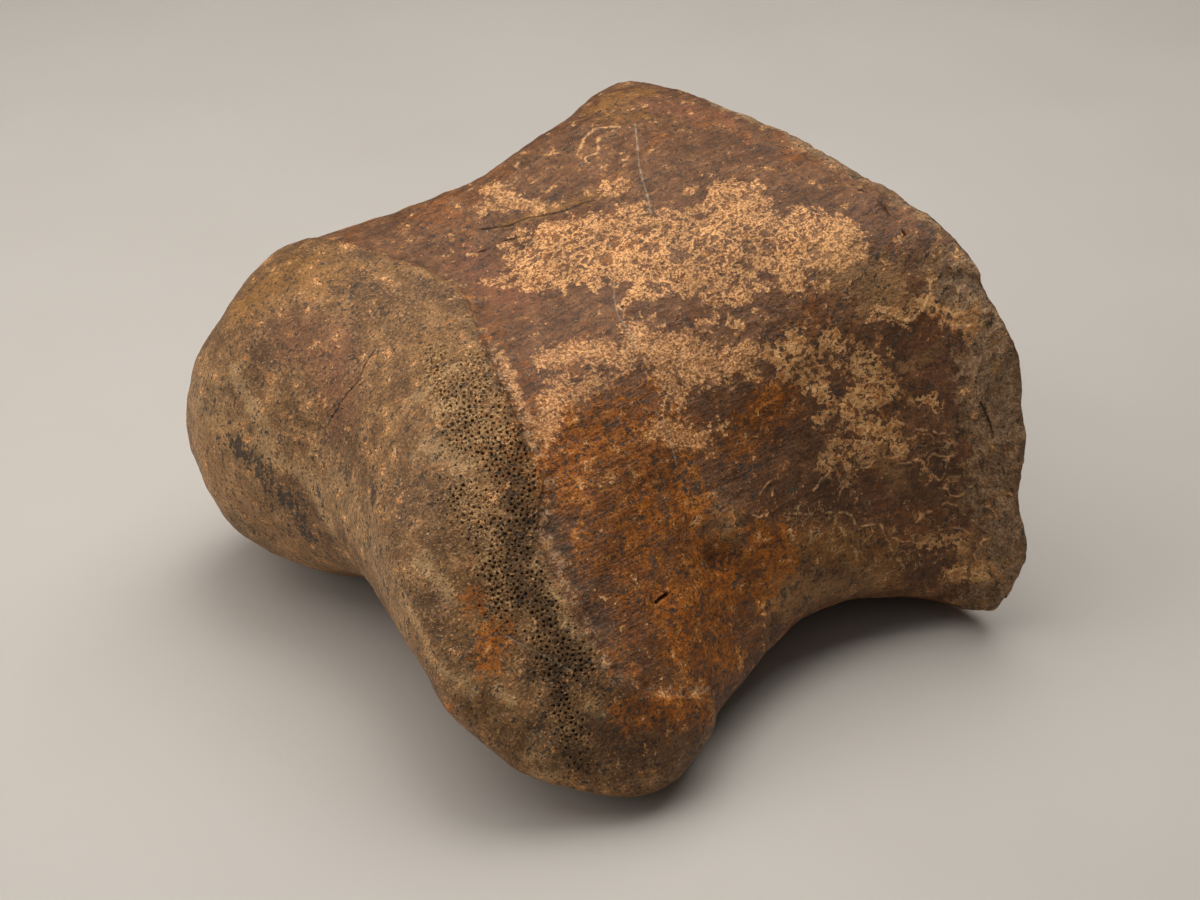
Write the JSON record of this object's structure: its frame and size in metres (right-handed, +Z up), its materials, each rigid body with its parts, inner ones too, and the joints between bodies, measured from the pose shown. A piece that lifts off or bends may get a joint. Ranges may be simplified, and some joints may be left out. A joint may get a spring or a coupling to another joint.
{
  "type": "fossil toe bone",
  "caption": "Life-size fossil phalanx of a hadrosaur's hind toe: a broad flat end, a waisted shaft and a rounded two-lobed end, lying on its underside.",
  "frame": {"origin": "middle of the bone's footprint on the floor it lies on", "axes": "+X towards the broad flat end that met the foot, -X towards the rounded two-lobed end, +Z up out of the top face, -Y out of the flank that faces the viewer"},
  "size_m": [0.1196, 0.1302, 0.0842],
  "materials": {
    "fossil_bone": "permineralised bone, reddish brown, satin where smooth and dull where pitted"
  },
  "bodies": {
    "root": {"toe_bone": "fossil_bone"}
  },
  "joints": []
}
